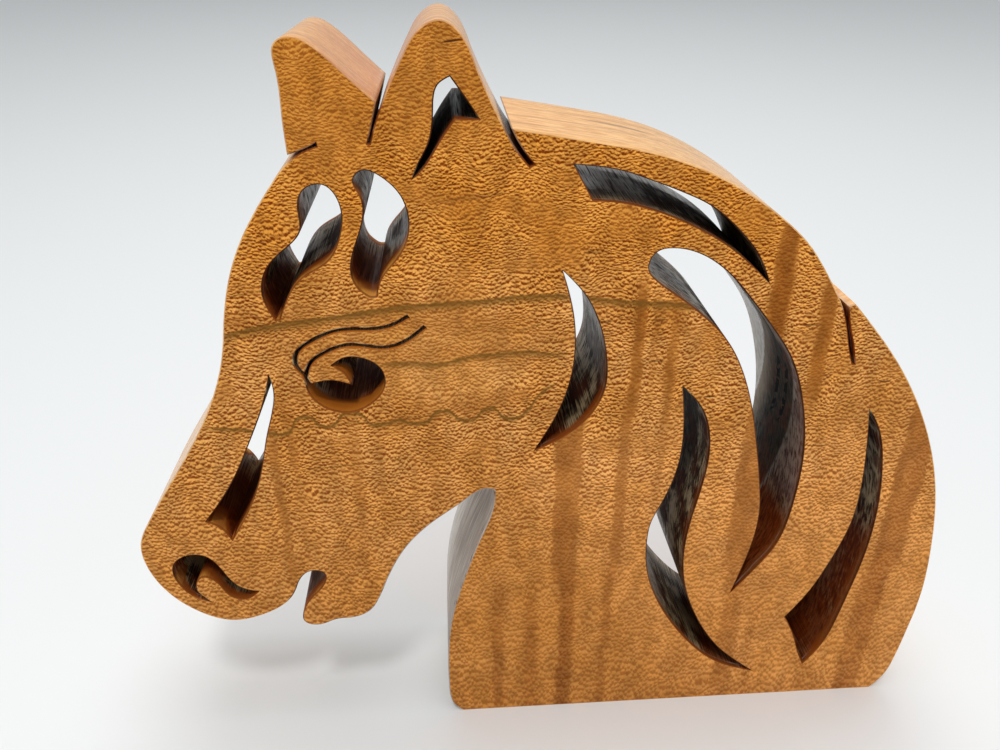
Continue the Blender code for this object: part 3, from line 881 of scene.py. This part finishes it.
    # Painted light: near the faces, as deep as light from high in front would reach before the cut's far side
    # shades it, the walls that look up are painted lit; that zone is red-brown on every wall of the wider
    # cuts
    reach = tree.math("MINIMUM", times(gap, 700.0), 7.5)
    for number, share in LIGHT_REACH_SHARES:
        reach = times(reach, sloped(cut(number), share - 1, 1.0))
    past = tree.math("SUBTRACT", sloped(marks, 1.6, edge), reach)
    front = ranged(past, 1.8, -0.2)
    wide = ranged(gap, 0.001, 0.003)
    char = mixed(times(front, wide, 0.65), char, ember)
    char = mixed(times(wide, ranged(edge, 4.0, 0.4), sloped(warmth, 0.7, 0.05)), char, LIP)
    lit_upward = times(front, ranged(facing, 0.0, 0.5), 0.95)
    golden = mixed(ranged(past, -0.5, -5.5), LIT_DEEP, LIT_EDGE)
    golden = mixed(times(ranged(patches, 0.42, 0.60), 0.75), golden, LIT_DULL)
    char = mixed(lit_upward, char, golden)
    # The eye's lower rim is painted lit
    char = mixed(times(cut(EYE), front, ranged(facing, 0.1, 0.6), 0.8), char, LIT_EYE_RIM)
    # A rim beside the faces, burnt dark, and painted lit where the wall looks up
    rim = ranged(sloped(marks, -0.8, edge), 0.35, -0.15)
    char = mixed(times(rim, wide, 0.85), char, mixed(lit_upward, BURNT_RIM, LIT_RIM))
    char = mixed(nicks, char, NICK_BLACK)
    # The wall under the jaw is painted grey as a reflection of the pale floor, with fine veins, and pits
    # beside the faces
    throat = times(open_outside, ranged(across, -62.0, -54.0), 0.9)
    veins = tree.noise(tree.xyz(times(run, 0.07), deep), 1.0, 3.0, 0.6, "Fac")
    veins = ranged(sloped(deep, 0.007, veins), 0.36, 0.66)
    pits = times(ranged(stains, 0.56, 0.62), ranged(edge, 3.5, 1.0), 0.7)
    char = mixed(throat, char, mixed(veins, THROAT_SHEEN_GREY, THROAT_SHEEN_PALE))
    char = mixed(times(throat, pits), char, PIT)

    # The sanded outside shows the end of the grain
    grain = tree.noise(tree.vector("MULTIPLY", place, (0.05, 1.1, 1.1)), 1.0, 4.0, 0.6, "Fac")
    rings = tree.xyz(times(across, 0.012), sloped(up, 0.20, times(deep, 0.36)))
    soft = tree.noise(rings, 1.0, 3.0, 0.6, "Fac")
    bare = mixed(ranged(grain, 0.3, 0.7), SANDED_DARK, SANDED_LIGHT)
    bare = mixed(times(ranged(soft, 0.48, 0.66), 0.55), bare, SANDED_RINGS)
    # A grey-brown streak on the mane, the redder top of the far ear, and the darker wall of the ear's slit
    streak = times(tree.spot(across, deep, 15.5, 5.0, 9.0, 1.2), ranged(up, 150.0, 160.0), 0.7)
    bare = mixed(streak, bare, MANE_GREY)
    red_ear = times(tree.spot(across, up, -40.0, 184.0, 24.0, 24.0), sloped(soft, 0.9, 0.1))
    bare = mixed(red_ear, bare, FAR_EAR_RED)
    ear_slit = times(tree.spot(across, up, -11.5, 175.5, 4.0, 7.0), ranged(facing, 0.9, 0.75), 0.8)
    bare = mixed(ear_slit, bare, SLIT_BROWN)
    tree.feed(shader.inputs["Base Color"], mixed(burnt, bare, char))

    # The smooth grey parts mirror the light behind the board
    mirror = most(glare, times(bright, ranged(streaks, 0.36, 0.60), 0.5))
    tree.feed(shader.inputs["Coat Weight"], times(burnt, mirror, tree.math("SUBTRACT", 1.0, nicks)))
    shader.inputs["Coat Roughness"].default_value = 0.25
    shader.inputs["Specular IOR Level"].default_value = 0.08
    burnished = most(sloped(polish_and_sheen, -0.37, 0.70), times(most(lit_upward, nicks, warmth), 0.8))
    tree.feed(shader.inputs["Roughness"], blended(burnt, sloped(grain, 0.16, 0.14), burnished))
    height = blended(burnt, times(grain, 0.3), sloped(nicks, -1.5, times(streaks, 0.6)))
    bump = tree.node("ShaderNodeBump", {"Height": height, "Strength": 1.0, "Distance": 0.00020})
    tree.feed(shader.inputs["Normal"], bump.outputs[0])
    return material


head = made_board(rippled_wood(), sawn_wall())
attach(head, "root")
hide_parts(NODE)


def pale_ground():
    material = bpy.data.materials.new("pale_ground")
    material.use_nodes = True
    shader = material.node_tree.nodes["Principled BSDF"]
    shader.inputs["Base Color"].default_value = (0.86, 0.87, 0.87, 1)
    shader.inputs["Roughness"].default_value = 0.6
    return material


def ground():
    """A wide flat floor that the head stands on."""
    mesh = bmesh.new()
    bmesh.ops.create_grid(mesh, x_segments=8, y_segments=8, size=4)
    data = bpy.data.meshes.new("ground")
    mesh.to_mesh(data)
    mesh.free()
    data.materials.append(pale_ground())
    made = bpy.data.objects.new("ground", data)
    bpy.context.scene.collection.objects.link(made)


def lamp(name, place, aim, size, power):
    light = bpy.data.lights.new(name, "AREA")
    light.shape = "DISK"
    light.size = size
    light.energy = power
    made = bpy.data.objects.new(name, light)
    made.location = place
    made.rotation_euler = (Vector(aim) - Vector(place)).to_track_quat("-Z", "Y").to_euler()
    bpy.context.scene.collection.objects.link(made)


ground()
lamp("key", (-0.12, -0.50, 1.04), (0, 0, 0.1), 0.16, 3.2)
lamp("above", (0.0, 0.0, 1.3), (0, 0, 0), 0.9, 3.0)
lamp("behind", (0.15, 0.35, 1.5), (0.15, 0.1, 0), 1.2, 4.9)
lamp("far", (0.0, 1.6, 1.8), (0, 1.2, 0), 1.5, 5.0)

scene = bpy.context.scene
world = bpy.data.worlds.new("room")
world.use_nodes = True
world.node_tree.nodes["Background"].inputs["Color"].default_value = (0.90, 0.93, 0.95, 1)
world.node_tree.nodes["Background"].inputs["Strength"].default_value = 0.54
scene.world = world
scene.view_settings.view_transform = "Standard"

camera = bpy.data.cameras.new("camera")
camera.lens = LENS
camera.sensor_width = 36
camera.clip_start = 0.01
eye = bpy.data.objects.new("camera", camera)
ahead = CAMERA_AHEAD.normalized()
up = (CAMERA_UP - ahead * CAMERA_UP.dot(ahead)).normalized()
right = ahead.cross(up)
eye.matrix_world = Matrix.Translation(CAMERA_PLACE) @ Matrix((right, up, -ahead)).transposed().to_4x4()
scene.collection.objects.link(eye)
scene.camera = eye
